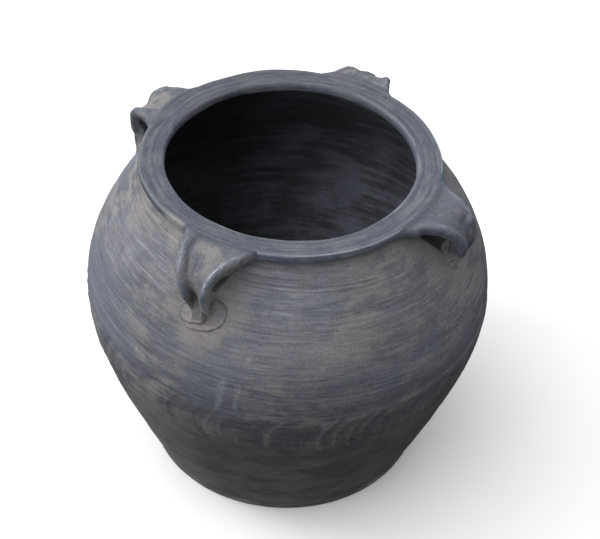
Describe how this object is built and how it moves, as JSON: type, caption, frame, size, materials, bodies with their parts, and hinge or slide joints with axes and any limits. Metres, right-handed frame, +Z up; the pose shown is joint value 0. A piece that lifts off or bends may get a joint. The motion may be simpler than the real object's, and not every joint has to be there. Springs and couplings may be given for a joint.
{
  "type": "black clay jar",
  "caption": "Large rounded unglazed black clay jar with a flat overhanging collar rim, a flat base and finger-pressed strap handles bridging the rim and the shoulder.",
  "frame": {"origin": "centre of the underside of the base disc", "axes": "+Z up along the jar's turning axis; the strap handles stand close to the +X, +Y, -X and -Y sides"},
  "size_m": [0.42, 0.42, 0.3632],
  "materials": {
    "base_clay": "matte, dusty",
    "lower_wall_clay": "matte, finger-trimmed strokes",
    "upper_wall_clay": "matte, fine wheel lines with dusty tan patches",
    "rim_clay": "smoothed, low sheen",
    "strap_clay": "finger-pressed, matte",
    "luting_clay": "smeared, matte"
  },
  "bodies": {
    "root": {"base_disc": "base_clay", "lower_wall": "lower_wall_clay", "upper_wall": "upper_wall_clay", "rim_ring": "rim_clay", "handle_front": "strap_clay", "handle_right": "strap_clay", "handle_back": "strap_clay", "handle_left": "strap_clay", "luting_pad_front": "luting_clay", "luting_pad_right": "luting_clay", "luting_pad_back": "luting_clay", "luting_pad_left": "luting_clay"}
  },
  "joints": []
}
